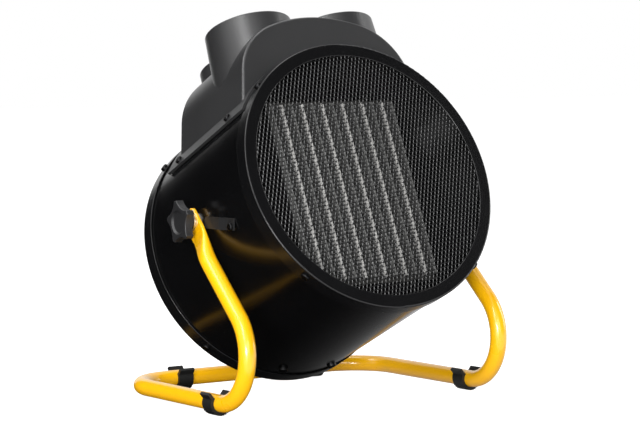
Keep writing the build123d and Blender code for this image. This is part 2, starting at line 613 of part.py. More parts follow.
def hood():
    drum_space = rod(SKIRT_R[0], -120, 120) + rod(RING_R + 0.7, -120, -(RING_U - RING_DEPTH - 1.5))
    arch = arch_solid(0.0, *HOOD_U)
    front_edges = arch.faces().sort_by(Axis.Y)[0].edges().filter_by_position(Axis.Z, 46, 200)
    arch = fillet(front_edges, 2.5)
    rear_edges = arch.faces().sort_by(Axis.Y)[-1].edges().filter_by_position(Axis.Z, 46, 200)
    arch = fillet(rear_edges, 4.0)
    cavity = arch_solid(HOOD_WALL, HOOD_U[0] + HOOD_WALL, HOOD_U[1] - HOOD_WALL)
    skirt = (rod(SKIRT_R[1], *SKIRT_U) - rod(SKIRT_R[0], SKIRT_U[0] - 1, SKIRT_U[1] + 1)) \
        & sector(SKIRT_ANGLE, *SKIRT_U)
    body = arch + skirt
    cup_drop = 3.0
    for x, u, radius, rim_v, floor_v in WELLS:
        body += tower(radius, rim_v, 100.0, x, u, DRAFT if u > 0 else REAR_DRAFT)
    rear_hollow = post(REAR_WELL_R - WELL_WALL, 90, REAR_WELL_FLOOR_V - cup_drop, 0, REAR_WELL_U)
    body = body - drum_space - cavity - rear_hollow
    for x, u, radius, rim_v, floor_v in WELLS[:2]:
        cup = post(radius, floor_v - cup_drop, rim_v - 2, x, u) & arch_solid(0.5, *HOOD_U)
        body += cup
    body += post(REAR_WELL_R - 0.5, REAR_WELL_FLOOR_V - cup_drop, REAR_WELL_FLOOR_V + 4, 0, REAR_WELL_U)
    for x, u, radius, rim_v, floor_v in WELLS:
        body -= post(radius - WELL_WALL, floor_v, rim_v + 5, x, u)
    for side in (-1, 1):
        for u in HOOD_SCREW_U:
            body -= around(side * HOOD_SCREW_ANGLE, u, DRUM_R, Cylinder(SCREW_HOLE_R, 14))
        body -= post(5.6, WELL_FLOOR_V - 6, WELL_FLOOR_V + 1, side * WELL_X, WELL_U)
    body -= post(RESET_COLLAR_R + 0.05, REAR_WELL_FLOOR_V - 6, REAR_WELL_FLOOR_V + 1, -RESET_X, REAR_WELL_U)
    body -= post(LAMP_R + 0.05, REAR_WELL_FLOOR_V - 6, REAR_WELL_FLOOR_V + 1, RESET_X, REAR_WELL_U)
    body -= rod(GLAND_R + 0.1, HOOD_U[0] - 1, HOOD_U[0] + HOOD_WALL + 1, GLAND_X, GLAND_V)
    return body


GLAND_R = 7.9
RESET_COLLAR_R = 8.0
RESET_X = 12.0
LAMP_R = 6.0


def hood_parts():
    keep("control_hood", tilted(hood()))
    screws = []
    for side in (-1, 1):
        for u in HOOD_SCREW_U:
            screws.append(tilted(around(side * HOOD_SCREW_ANGLE, u, SKIRT_R[1] + 0.05, pan_screw(6.5))))
    keep("hood_screws", *screws)
    wall_out = HOOD_U[0]
    body = rod(11.0, wall_out - 6.0, wall_out - 0.05, GLAND_X, GLAND_V)
    body += rod(GLAND_R, wall_out - 1, wall_out + HOOD_WALL + 6.5, GLAND_X, GLAND_V)
    dome = Pos(GLAND_X, -(wall_out - 9.0), GLAND_V) * Rot(-90, 0, 0) * Cone(10.0, 7.5, 6.0)
    body += dome
    body -= rod(CORD_R, wall_out - 20, wall_out + 20, GLAND_X, GLAND_V)
    keep("cable_gland", tilted(body))
    nut = Rot(90, 0, 0) * extrude(RegularPolygon(10.5, 6, major_radius=False), 4.0)
    nut = Pos(GLAND_X, -(wall_out + HOOD_WALL + 0.05), GLAND_V) * nut
    nut -= rod(GLAND_R + 0.02, wall_out, wall_out + 20, GLAND_X, GLAND_V)
    keep("gland_nut", tilted(nut))


# ---- the controls -----------------------------------------------------------------------------------------
def dial(bar_width):
    """A round control knob with a grip bar, its base on z = 0."""
    skirt = Pos(0, 0, 2.5) * Cylinder(DIAL_R, 5.0)
    skirt = fillet(skirt.edges().group_by(Axis.Z)[-1], 1.2)
    step = Pos(0, 0, 6.5) * Cylinder(DIAL_R - 4.5, 5.0)
    bar = Pos(0, 0, 13.0) * Box(bar_width, 2 * DIAL_R - 8, 14.0)
    bar = bar & Pos(0, 0, 12.0) * Cylinder(DIAL_R - 4.5, 18.0)
    bar = fillet(bar.edges().group_by(Axis.Z)[-1], 1.5)
    pointer = Pos(0, DIAL_R - 9, 20.0) * Box(1.4, 7.0, 1.0)
    return skirt + step + bar - pointer


def control_parts():
    knob_base = WELL_FLOOR_V + 1.0
    body_top = WELL_FLOOR_V - 3.1
    for name, x, body_size in (("thermostat", -WELL_X, (30, 34, 13.0)), ("power_switch", WELL_X, (32, 32, 13.0))):
        width, depth, height = body_size
        body = Pos(x, -WELL_U, body_top - height / 2) * Box(width, depth, height)
        body += post(5.0, body_top - 1, body_top + 5.5, x, WELL_U)
        body -= post(3.05, body_top - 9, body_top + 8, x, WELL_U)
        keep(f"{name}_body", tilted(body))
        shaft = post(3.0, body_top - 8.5, knob_base + 12, x, WELL_U)
        keep(f"{name}_shaft", tilted(shaft))
        knob = Pos(x, -WELL_U, knob_base) * dial(12.0)
        knob -= post(3.02, knob_base - 1, knob_base + 12.1, x, WELL_U)
        knob -= post(8.5, knob_base - 1, knob_base + 2.8, x, WELL_U)
        keep(f"{name}_knob", tilted(knob))
    floor_v = REAR_WELL_FLOOR_V
    collar = post(RESET_COLLAR_R, floor_v - 9, floor_v + 2.5, -RESET_X, REAR_WELL_U)
    collar += post(10.0, floor_v + 0.05, floor_v + 2.5, -RESET_X, REAR_WELL_U)
    collar -= post(BUTTON_R + 0.3, floor_v - 7, floor_v + 4, -RESET_X, REAR_WELL_U)
    keep("thermal_cutout", tilted(collar))
    button = post(BUTTON_R, floor_v - 6.9 + BUTTON_TRAVEL, floor_v + 7, -RESET_X, REAR_WELL_U)
    button = fillet(button.edges().group_by(Axis.Z)[-1], 1.2)
    keep("reset_button", tilted(button))
    lamp = post(LAMP_R, floor_v - 8, floor_v + 2, RESET_X, REAR_WELL_U)
    lamp += post(8.0, floor_v + 0.05, floor_v + 1.6, RESET_X, REAR_WELL_U)
    lamp += Pos(RESET_X, -REAR_WELL_U, floor_v + 1.9) * (Sphere(5.5) & Pos(0, 0, 5) * Box(12, 12, 10))
    keep("pilot_lamp", tilted(lamp))
    terminal = block(-18, 18, 2, 20, DRUM_R + 0.3, DRUM_R + 12)
    for x in (-12, 0, 12):
        terminal -= post(2.6, DRUM_R + 6, DRUM_R + 13, x, 7)
        terminal -= post(2.6, DRUM_R + 6, DRUM_R + 13, x, 15)
    keep("terminal_block", tilted(terminal))


# ---- the tilt pivots ------------------------------------------------------------------------------------------
def level_on_drum(side, y, rise, shape):
    """Stands a shape on the drum's side this far along and above the tilt axis, measured level and
    plumb at rest. The shape is drawn in the drum's own directions."""
    turn = math.radians(TILT)
    u = rise * math.sin(turn) - y * math.cos(turn)
    v = y * math.sin(turn) + rise * math.cos(turn)
    return around(side * (90 - math.degrees(math.asin(v / DRUM_R))), u, DRUM_R, shape)


def drum_side_x(y, rise=0.0):
    """Half width of the drum this far along and above the tilt axis."""
    turn = math.radians(TILT)
    v = y * math.sin(turn) + rise * math.cos(turn)
    return math.sqrt(DRUM_R ** 2 - v ** 2)


def tilt_stop():
    """A bent strip screwed to the right side of the drum. Its raised, rounded end stands in the
    arm's way, and it is level at rest."""
    inner, outer = STOP_X
    foot_x = drum_side_x(STOP_SCREW_Y) + 0.5
    near, bend, knee, end = STOP_Y
    outline = [
        (outer, near), (outer, bend), (foot_x + STOP_SHEET, knee), (foot_x + STOP_SHEET, end),
        (foot_x, end), (foot_x, knee + 0.9), (inner, bend + 0.9), (inner, near),
    ]
    strip = extrude(make_face(Polyline(*outline, close=True)), STOP_WIDTH / 2, both=True)
    strip = fillet(strip.edges().filter_by(Axis.X).group_by(Axis.Y)[-1], 4.0)
    strip = Pos(0, 0, PIVOT_Z) * strip
    strip -= side_rod(SCREW_HOLE_R, foot_x - 6, outer + 2, STOP_SCREW_Y, PIVOT_Z + STOP_SCREW_RISE)
    return strip - tilted(rod(DRUM_R + 0.03, -120, 120))


def star_knob():
    """A five-lobed clamping knob, its axis on Z, its back on z = 0 and its face outwards."""
    thick = KNOB_FACE_X - KNOB_BACK_X
    outline = Circle(KNOB_LOBE_R)
    for index in range(5):
        angle = math.radians(KNOB_TURN + 36 + index * 72)
        outline -= Pos(SCALLOP_AT * math.cos(angle), SCALLOP_AT * math.sin(angle)) * Circle(SCALLOP_R)
    body = extrude(outline, thick)
    body = fillet(body.edges().filter_by(Axis.Z), 1.2)
    body = fillet(body.edges().group_by(Axis.Z)[-1], 0.8)
    dish = Pos(0, 0, thick - 0.7) * Cone(8.4, 10.0, 1.6)
    neck = KNOB_BACK_X - (TAB_X[1] + 1.7)
    hub = Pos(0, 0, (0.4 - neck) / 2) * Cylinder(KNOB_HUB_R, neck + 0.4)
    return body - dish + hub - Cylinder(STUD_R + 0.01, 9.0)


def pivot_parts():
    for side, word in ((-1, "left"), (1, "right")):
        stop = tilt_stop()
        keep(f"tilt_stop_{word}", stop if side > 0 else mirror(stop, about=Plane.YZ))
        boss = side_rod(BOSS_R, DRUM_R - 2, BOSS_FACE_X) - side_rod(STUD_R + 0.4, DRUM_R - 4, BOSS_FACE_X + 1)
        boss -= tilted(rod(DRUM_R + 0.02, -120, 120))
        keep(f"pivot_boss_{word}", boss if side > 0 else mirror(boss, about=Plane.YZ))
        nut = extrude(RegularPolygon(5.0, 6, major_radius=False), 5.0)
        nut = Pos(NUT_X, 0, PIVOT_Z) * Rot(0, 90, 0) * nut
        nut -= side_rod(STUD_R + 0.05, NUT_X - 2, NUT_X + 8)
        keep(f"pivot_nut_{word}", nut if side > 0 else Rot(0, 0, 180) * nut)
        head_x = drum_side_x(STOP_SCREW_Y) + 0.5 + STOP_SHEET + 0.05
        screw = Pos(head_x, STOP_SCREW_Y, PIVOT_Z + STOP_SCREW_RISE) * Rot(0, 90, 0) * pan_screw(7.0)
        keep(f"tilt_stop_screw_{word}", screw if side > 0 else mirror(screw, about=Plane.YZ))
        stud = side_rod(STUD_R, NUT_X - 1, KNOB_BACK_X + 4.4)
        keep(f"clamp_stud_{word}", stud if side > 0 else Rot(0, 0, 180) * stud)
        knob = Pos(KNOB_BACK_X, 0, PIVOT_Z) * Rot(0, 90, 0) * star_knob()
        keep(f"clamp_knob_{word}", knob if side > 0 else Rot(0, 0, 180) * knob)


def main():
    os.makedirs("parts", exist_ok=True)
    stand_parts()
    drum_parts()
    heating_block_parts()
    baffle_parts()
    fan_parts()
    motor_parts()
    shroud_parts()
    hood_parts()
    control_parts()
    pivot_parts()
    boxes = [shape.bounding_box() for shape in nodes.values()]
    print("whole heater", [round(min(getattr(box.min, axis) for box in boxes), 2) for axis in "XYZ"],
          [round(max(getattr(box.max, axis) for box in boxes), 2) for axis in "XYZ"])
    for name, shape in nodes.items():
        export_step(shape, f"parts/{name}.step")
        size = shape.bounding_box().size
        print(f"{name}: {len(shape.solids())} solid(s), "
              f"{size.X:.1f} x {size.Y:.1f} x {size.Z:.1f} mm, {shape.volume / 1000:.1f} cm3")


main()
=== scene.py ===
# %% [markdown]
# # A forced air heater
# A round black drum tilts on a bent yellow tube stand. Behind the fine mesh at its front sits a
# ceramic heating block, and a moulded hood on top holds the controls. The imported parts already
# have their true shapes and places, so this lesson gives every one of them its finish, models
# what is too fine for a solid (the mesh at both ends, the printed marks), and lights the whole
# as a product photograph.

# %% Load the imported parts
import math

import bmesh
import bpy
from mathutils import Matrix, Vector


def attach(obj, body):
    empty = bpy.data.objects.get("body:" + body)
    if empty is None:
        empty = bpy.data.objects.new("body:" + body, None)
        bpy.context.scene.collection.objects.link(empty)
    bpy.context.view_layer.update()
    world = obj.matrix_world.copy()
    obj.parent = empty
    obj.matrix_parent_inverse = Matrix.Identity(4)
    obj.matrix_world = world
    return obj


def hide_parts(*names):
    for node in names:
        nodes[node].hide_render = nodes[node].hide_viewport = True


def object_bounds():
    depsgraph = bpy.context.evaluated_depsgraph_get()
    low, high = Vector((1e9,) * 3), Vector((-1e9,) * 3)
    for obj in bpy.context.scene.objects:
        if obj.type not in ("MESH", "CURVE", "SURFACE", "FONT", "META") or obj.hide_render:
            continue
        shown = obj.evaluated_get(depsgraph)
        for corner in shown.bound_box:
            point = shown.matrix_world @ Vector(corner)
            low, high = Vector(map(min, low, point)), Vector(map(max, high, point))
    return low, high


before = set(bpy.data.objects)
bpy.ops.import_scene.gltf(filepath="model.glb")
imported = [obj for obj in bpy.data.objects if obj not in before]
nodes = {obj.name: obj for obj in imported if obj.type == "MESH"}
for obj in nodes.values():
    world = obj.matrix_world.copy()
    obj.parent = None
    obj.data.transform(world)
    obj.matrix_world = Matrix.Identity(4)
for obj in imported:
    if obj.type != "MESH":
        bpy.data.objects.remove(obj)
packed_low, packed_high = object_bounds()
print(len(nodes), "parts, box", [round(value, 4) for value in (*packed_low, *packed_high)])

# %% [markdown]
# ## Where things are
# All lengths are metres. The drum has directions of its own: `u` runs forward along its axis
# and `v` is up and square to that. The tilt axis is where both start, and the drum is tilted
# nose-up, so one matrix carries a shape from the drum's directions to its place.

# %% The drum's directions
MM = 0.001
TILT = math.radians(24.0)
PIVOT = Vector((0.0, -9.8 * MM, 152.4 * MM))
OUTLET_U = 92.5 * MM


def drum_frame():
    """The matrix of the tilted drum, whose origin is on the tilt axis."""
    return Matrix.Translation(PIVOT) @ Matrix.Rotation(-TILT, 4, "X")


def on_drum(x, u, v):
    """The matrix that stands a shape on the drum, its x across, its y along v and its z along u."""
    upright = Matrix.Rotation(math.radians(90), 4, "X")
    return drum_frame() @ Matrix.Translation((x, -u, v)) @ upright


outlet_middle = on_drum(0, OUTLET_U, 0).translation
print("middle of the outlet", [round(value, 4) for value in outlet_middle])

# %% [markdown]
# ## The camera
# The picture was taken from the heater's front left, a little above its middle, with a long
# lens from about two metres. Long lenses keep the drum's two ends nearly the same size, and
# that is why the lens is 132 mm here and not the default 50 mm.

# %% Camera
LENS = 132.12                                    # millimetres, for a frame 36 mm wide
CAMERA_RIGHT = Vector((0.84112, -0.54066, -0.01420))
CAMERA_UP = Vector((0.04298, 0.04064, 0.99825))
CAMERA_BACK = Vector((-0.53914, -0.84026, 0.05742))
CAMERA_REACH = Vector((-1056.81, -1654.14, 114.42)) * MM      # from the tilt axis

camera = bpy.data.objects.new("camera", bpy.data.cameras.new("camera"))
bpy.context.scene.collection.objects.link(camera)
camera.data.lens = LENS
camera.data.sensor_width = 36.0
camera.data.sensor_fit = "HORIZONTAL"
camera_turn = Matrix((CAMERA_RIGHT, CAMERA_UP, CAMERA_BACK)).transposed().to_4x4()
camera.matrix_world = Matrix.Translation(PIVOT + CAMERA_REACH) @ camera_turn
bpy.context.scene.camera = camera
print("camera", round(CAMERA_REACH.length, 3), "m from the tilt axis")

# %% [markdown]
# ## Tools for finishes
# A finish is a small network of nodes. Writing it as sums in Python keeps it readable, so one
# class wraps a socket and turns `+`, `-` and `*` into Math nodes, and a second class holds one
# material, makes any other node, and gives the patterns that all finishes share.


# %% A socket that can be used in sums
class Wire:
    """One output socket. Sums with numbers or other wires add Math nodes to its material."""

    def __init__(self, finish, socket):
        self.finish = finish
        self.socket = socket

    def _sum(self, operation, first, second):
        return self.finish.node("Math", {"operation": operation}, {0: first, 1: second})

    def __add__(self, other):
        return self._sum("ADD", self, other)

    def __radd__(self, other):
        return self._sum("ADD", other, self)

    def __sub__(self, other):
        return self._sum("SUBTRACT", self, other)

    def __rsub__(self, other):
        return self._sum("SUBTRACT", other, self)

    def __mul__(self, other):
        return self._sum("MULTIPLY", self, other)

    def __rmul__(self, other):
        return self._sum("MULTIPLY", other, self)


# %% One material
class Finish:
    """A material with a Principled surface. Fixed values go straight on its sockets."""

    def __init__(self, name, colour, roughness, **fixed):
        self.material = bpy.data.materials.new(name)
        self.material.use_nodes = True
        self.tree = self.material.node_tree
        self.surface = self.tree.nodes["Principled BSDF"]
        self.surface.inputs["Base Color"].default_value = (*colour, 1.0)
        self.surface.inputs["Roughness"].default_value = roughness
        for socket, value in fixed.items():
            self.surface.inputs[socket.replace("_", " ")].default_value = value
        self.place = self.node("TexCoord", out="Object")

    def node(self, kind, settings=None, sockets=None, out=0):
        """Adds a node: its settings first, then the values or wires of its sockets."""
        made = self.tree.nodes.new("ShaderNode" + kind)
        for key, value in (settings or {}).items():
            setattr(made, key, value)
        for key, value in (sockets or {}).items():
            self.plug(made.inputs[key], value)
        return Wire(self, made.outputs[out])

    def plug(self, socket, value):
        """Links a wire to a socket, or writes a plain value on it."""
        if isinstance(value, Wire):
            self.tree.links.new(value.socket, socket)
        else:
            socket.default_value = value

    def stretched(self, x, y, z):
        """Object coordinates that are scaled per axis, for streaks."""
        return self.node("Mapping", {}, {"Vector": self.place, "Scale": (x, y, z)})

    def noise(self, size, detail=2.0, where=None):
        """A cloudy pattern from 0 to 1, its blotches about this many millimetres across."""
        sockets = {"Vector": where or self.place, "Scale": 1.0 / (size * MM), "Detail": detail}
        return self.node("TexNoise", {}, sockets, "Fac")

    def cells(self, size, out="Distance"):
        """Rounded cells about this many millimetres across, 0 at each middle."""
        sockets = {"Vector": self.place, "Scale": 1.0 / (size * MM)}
        return self.node("TexVoronoi", {}, sockets, out)

    def step(self, value, low, high):
        """0 below low, 1 above high and a straight slope between."""
        sockets = {"Value": value, "From Min": low, "From Max": high}
        return self.node("MapRange", {"clamp": True}, sockets, "Result")

    def blend(self, share, first, second):
        """A colour between two, by a share from 0 to 1."""
        pick = [shade if isinstance(shade, Wire) else (*shade, 1.0) for shade in (first, second)]
        return self.node("Mix", {"data_type": "RGBA"}, {0: share, 6: pick[0], 7: pick[1]}, 2)

    def colour(self, value):
        """Sets what colour the surface has."""
        self.plug(self.surface.inputs["Base Color"], value)

    def roughness(self, value):
        """Sets how dull the surface is, from 0 to 1."""
        self.plug(self.surface.inputs["Roughness"], value)

    def relief(self, height, depth, strength):
        """Bump whose full height is this many millimetres."""
        sockets = {"Height": height, "Distance": depth * MM, "Strength": strength}
        self.plug(self.surface.inputs["Normal"], self.node("Bump", {}, sockets))


finishes = {}
print("finish tools ready")

# %% [markdown]
# ## Paint
# The drum is sheet steel with a sprayed, baked enamel. Sprayed paint is never a perfect mirror:
# it has a shallow orange peel, slightly duller clouds where it was handled, and a few specks of
# dust. Its reflections are weaker than those of glass, so the specular level is set low. The
# rings and the meshes at both ends have a more satin coat and the tilt stops a nearly matt one,
# and the stand has a thick yellow powder coat, which is glossy and a little wavy.


# %% Black enamel, in several degrees of gloss
def enamel(name, colour, dull, gloss, specular):
    """Sprayed paint with clouds, specks of dust and a shallow orange peel."""
    finish = Finish(name, colour, gloss, Specular_IOR_Level=specular)
    clouds = finish.noise(45, 3.0)
    specks = finish.step(finish.cells(7.0), 0.06, 0.02)
    finish.colour(finish.blend(clouds * 0.6 + specks * 0.25, colour, dull))
    finish.roughness(gloss + clouds * 0.09 + specks * 0.2)
    finish.relief(finish.noise(1.6), depth=0.02, strength=0.35)
    return finish


finishes["drum_paint"] = enamel(
    "black_enamel", (0.0018, 0.0018, 0.002), (0.004, 0.004, 0.0044),
    gloss=0.14, specular=0.34)
finishes["ring_paint"] = enamel(
    "ring_enamel", (0.003, 0.003, 0.0033), (0.005, 0.005, 0.0055),
    gloss=0.2, specular=0.36)
finishes["stop_paint"] = enamel(
    "satin_black_enamel", (0.009, 0.009, 0.0095), (0.014, 0.014, 0.0145),
    gloss=0.38, specular=0.4)
finishes["mesh_paint"] = enamel(
    "mesh_enamel", (0.01, 0.01, 0.0102), (0.016, 0.016, 0.0164),
    gloss=0.25, specular=0.31)
finishes["motor_paint"] = enamel(
    "motor_enamel", (0.02, 0.02, 0.021), (0.035, 0.035, 0.036),
    gloss=0.36, specular=0.4)
print("enamels", sorted(finishes))

# %% Yellow powder coat
YELLOW = (0.97, 0.5, 0.002)
DULL_YELLOW = (0.9, 0.44, 0.002)
PLAIN_YELLOW = (0.9, 0.5, 0.015)                 # only for a viewer that shows no nodes

coat = Finish("yellow_powder_coat", PLAIN_YELLOW, 0.2, Coat_Weight=0.5, Coat_Roughness=0.12)
tone = coat.noise(38, 3.0)
pits = coat.step(coat.cells(4.5), 0.05, 0.015)
coat.colour(coat.blend(tone * 0.5 + pits * 0.3, YELLOW, DULL_YELLOW))
coat.roughness(0.24 + tone * 0.09 + pits * 0.15)
coat.relief(coat.noise(2.4), depth=0.045, strength=0.4)
finishes["yellow_paint"] = coat
print("powder coat", coat.material.name)

# %% [markdown]
# ## Moulded plastic and rubber
# The hood is moulded in a tool whose wall was etched, which leaves a fine even grain. Grain
# scatters light, so the hood looks dark grey next to the black drum. Cells of about half a
# millimetre make that grain, and slow clouds keep the large faces from looking flat. The star
# knobs have a coarser grain, the dials are nearly smooth, and rubber is dull and dusty.


# %% Grained plastics and rubber
def moulding(name, colour, dull, gloss, grain, depth, specular=0.5):
    """Plastic with an etched grain, its cells and its depth in millimetres."""
    finish = Finish(name, colour, gloss, Specular_IOR_Level=specular)
    clouds = finish.noise(60, 4.0)
    grit = finish.cells(grain)
    finish.colour(finish.blend(clouds * 0.7 + grit * 0.3, colour, dull))
    finish.roughness(gloss + clouds * 0.1 - grit * 0.05)
    finish.relief(grit + finish.noise(grain * 3) * 0.6, depth, strength=0.5)
    return finish


finishes["hood_plastic"] = moulding(
    "grained_hood_plastic", (0.019, 0.019, 0.0196), (0.026, 0.026, 0.0268),
    gloss=0.34, grain=0.55, depth=0.04, specular=0.6)
finishes["knob_plastic"] = moulding(
    "star_knob_plastic", (0.009, 0.009, 0.0095), (0.016, 0.016, 0.017),
    gloss=0.42, grain=0.8, depth=0.06)
finishes["dial_plastic"] = moulding(
    "dial_plastic", (0.015, 0.015, 0.016), (0.022, 0.022, 0.023),
    gloss=0.24, grain=0.5, depth=0.012)
finishes["holder_plastic"] = moulding(
    "holder_plastic", (0.022, 0.021, 0.02), (0.035, 0.034, 0.032),
    gloss=0.5, grain=0.7, depth=0.05)
finishes["fan_plastic"] = moulding(
    "fan_plastic", (0.05, 0.05, 0.052), (0.075, 0.075, 0.078),
    gloss=0.46, grain=0.7, depth=0.04)
finishes["black_rubber"] = moulding(
    "foot_rubber", (0.006, 0.006, 0.006), (0.016, 0.016, 0.015),
    gloss=0.48, grain=1.1, depth=0.08, specular=0.3)
finishes["white_plastic"] = moulding(
    "natural_plastic", (0.74, 0.72, 0.66), (0.66, 0.63, 0.57),
    gloss=0.35, grain=0.6, depth=0.01)
finishes["red_plastic"] = moulding(
    "red_lens", (0.55, 0.015, 0.01), (0.4, 0.01, 0.008),
    gloss=0.14, grain=1.6, depth=0.01)
print("mouldings done,", len(finishes), "finishes so far")

# %% [markdown]
# ## Metal
# Turned and rolled metal shows fine lines in the direction it was worked, so its roughness
# follows a noise that is stretched along one axis. Zinc plate is blotchy and galvanised sheet has
# flat crystals. The heating block is one aluminium, but its crinkled fins and the dividers between
# them get darker colours than its flat bars: painted shade for the deep folds of the block. Glue
# and oxide hide most of the block's bare metal, so its parts are metallic only in part.


# %% Metals
def metal(name, bright, dull, gloss, streak=(60, 60, 1500), depth=0.008, bare=1.0):
    """Blotchy metal with fine lines. A share of 1 is all bare metal."""
    finish = Finish(name, bright, gloss, Metallic=bare)
    blotch = finish.noise(9, 3.0)
    lines = finish.noise(1000, 3.0, finish.stretched(*streak))
    finish.colour(finish.blend(blotch, bright, dull))
    finish.roughness(gloss + blotch * 0.12 + lines * 0.1)
    finish.relief(lines, depth, strength=0.5)
    return finish


finishes["zinc_steel"] = metal(
    "zinc_plate", (0.72, 0.72, 0.7), (0.52, 0.52, 0.5), gloss=0.24)
finishes["black_screw"] = metal(
    "black_zinc", (0.024, 0.024, 0.025), (0.014, 0.014, 0.0145), gloss=0.3)
finishes["motor_steel"] = metal(
    "lamination_steel", (0.34, 0.34, 0.35), (0.24, 0.23, 0.23),
    gloss=0.42, streak=(30, 2200, 30), depth=0.03)
finishes["brass"] = metal(
    "turned_brass", (0.78, 0.6, 0.28), (0.62, 0.46, 0.2), gloss=0.26)
finishes["bar_metal"] = metal(
    "bar_aluminium", (0.68, 0.67, 0.65), (0.56, 0.55, 0.53), gloss=0.4, bare=0.25)
# The dividers and the fins are the bars' aluminium in darker colours: painted shade of the block's
# deep folds.
finishes["divider_metal_painted_shade"] = metal(
    "divider_aluminium_painted_shade", (0.24, 0.24, 0.235), (0.17, 0.17, 0.165), gloss=0.42, bare=0.3)
finishes["fin_metal_painted_shade"] = metal(
    "fin_aluminium_painted_shade", (0.13, 0.13, 0.127), (0.08, 0.08, 0.078),
    gloss=0.42, streak=(1500, 60, 60), depth=0.02, bare=0.45)
print("metals done,", len(finishes), "finishes so far")

# %% Galvanised sheet and white print
sheet = metal("galvanised_sheet", (0.6, 0.61, 0.62), (0.42, 0.43, 0.44), gloss=0.34)
crystals = sheet.cells(7.0, out="Color")
crystal = sheet.node("SeparateColor", {}, {"Color": crystals}, "Red")
sheet.colour(sheet.blend(crystal, (0.64, 0.65, 0.66), (0.4, 0.41, 0.42)))
sheet.roughness(0.3 + crystal * 0.2)
finishes["sheet_steel"] = sheet

marking = Finish("white_marking", (0.72, 0.72, 0.7), 0.5)
worn = marking.noise(1.2, 3.0)
marking.colour(marking.blend(worn * 0.6, (0.74, 0.74, 0.72), (0.5, 0.5, 0.49)))
marking.roughness(0.42 + worn * 0.2)
finishes["marking"] = marking
print("all finishes", len(finishes))

# %% [markdown]
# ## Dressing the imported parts
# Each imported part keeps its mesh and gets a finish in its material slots. Parts that come in
# pairs end in `left` or `right`, so the table names them once.

# %% Which part wears which finish
WEARS = {
    "yellow_paint": ["stand_tube"],
    "black_rubber": ["front_foot", "rear_foot"],
    "drum_paint": ["drum_shell", "air_baffle"],
    "stop_paint": ["tilt_stop"],
    "ring_paint": ["front_ring", "rear_ring"],
    "mesh_paint": ["front_mesh", "rear_mesh"],
    "hood_plastic": ["control_hood"],
    "knob_plastic": ["clamp_knob"],
    "dial_plastic": ["thermostat_knob", "power_switch_knob", "cable_gland", "gland_nut",
                     "thermal_cutout"],
    "holder_plastic": ["block_holder_upper", "block_holder_lower"],
    "fan_plastic": ["fan_wheel"],
    "white_plastic": ["thermostat_body", "power_switch_body", "terminal_block",
                      "thermostat_shaft", "power_switch_shaft"],
    "red_plastic": ["reset_button", "pilot_lamp"],
    "zinc_steel": ["clamp_washer", "clamp_stud", "pivot_boss", "pivot_nut", "motor_screws",
                   "motor_shaft", "fan_nut"],
    "black_screw": ["front_ring_screws", "rear_ring_screws", "hood_screws", "shroud_screws",
                    "bridge_screws", "block_screws", "tilt_stop_screw"],
    "sheet_steel": ["motor_bridge", "fan_shroud"],
    "motor_paint": ["motor_case"],
    "motor_steel": ["motor_stator", "motor_rotor"],
    "brass": ["motor_bushes", "bar_terminals"],
    "bar_metal": ["heating_bars"],
    "divider_metal_painted_shade": ["fin_dividers"],
    "fin_metal_painted_shade": ["heating_fins"],
}


def dress(piece, finish):
    """Puts a finish in every material slot of a piece."""
    piece.data.materials.clear()
    piece.data.materials.append(finishes[finish].material)
    for face in piece.data.polygons:
        face.material_index = 0


dressed = set()
for finish, names in WEARS.items():
    for name in names:
        for node in (name, name + "_left", name + "_right"):
            if node in nodes:
                dress(nodes[node], finish)
                dressed.add(node)
print("dressed", len(dressed), "of", len(nodes), "parts, left:", sorted(set(nodes) - dressed))

# %% [markdown]
# ## The fine mesh
# Both ends are closed by a thin net of expanded steel with six-sided holes, about 3.8 mm from
# one to the next. Slit sheet that is pulled apart doesn't stay flat: its strands twist, all of
# them the same way, and the bonds between them are wider. There are thousands of holes, so one
# hole's share of the net is modelled, a hexagon with its middle taken out whose corners are
# raised and lowered, and Array modifiers lay it out in rows. Cells outside the round edge are
# deleted, and Solidify gives the net its thickness at the very end, which keeps every hole's
# wall closed with the fewest faces.


# %% Helpers for modelling
def start_clean():
    """Leaves nothing selected, so that the next operator acts on the new piece alone."""
    bpy.ops.object.select_all(action="DESELECT")


def apply_all(piece):
    """Applies every modifier in order."""
    bpy.context.view_layer.objects.active = piece
    for modifier in list(piece.modifiers):
        bpy.ops.object.modifier_apply(modifier=modifier.name)


def settle(piece, matrix):
    """Puts the piece in place and moves that place into its mesh."""
    start_clean()
    piece.matrix_world = matrix
    piece.select_set(True)
    bpy.context.view_layer.objects.active = piece
    bpy.ops.object.transform_apply(location=True, rotation=True, scale=True)


def select_faces(piece, wanted):
    """Selects, in edit mode, the faces that pass the test, and says how many they are."""
    bpy.ops.mesh.select_mode(type="FACE")
    bpy.ops.mesh.select_all(action="DESELECT")
    shape = bmesh.from_edit_mesh(piece.data)
    picked = 0
    for face in shape.faces:
        if wanted(face):
            face.select_set(True)
            picked += 1
    bmesh.update_edit_mesh(piece.data)
    return picked


def array(piece, count, step):
    """Lays out copies one step apart and joins the corners where they meet."""
    rows = piece.modifiers.new("rows", "ARRAY")
    rows.use_relative_offset = False
    rows.use_constant_offset = True
    rows.constant_offset_displace = step
    rows.count = count
    rows.use_merge_vertices = True
    rows.merge_threshold = 0.02 * MM


# %% One cell of the net
CELL_PITCH = 3.84 * MM                           # from one hole to the next in a row
CELL_RADIUS = CELL_PITCH / math.sqrt(3)          # from a cell's middle to its corners
CELL_WEB = 0.44 * MM                             # width of a strand before the pull
STRAND_TWIST = 0.44 * MM                         # a hole's edge, up on one side, down opposite
CORNER_RISE = 0.25 * MM                          # where strands meet, up and down in turn
RAISED_CORNERS = (30, 150, 270)                  # degrees round the cell
# A hole is narrower across its two wide bonds and a little wider across its thin links.
SQUEEZES = ((math.radians(120), 0.78), (math.radians(60), 1.07))


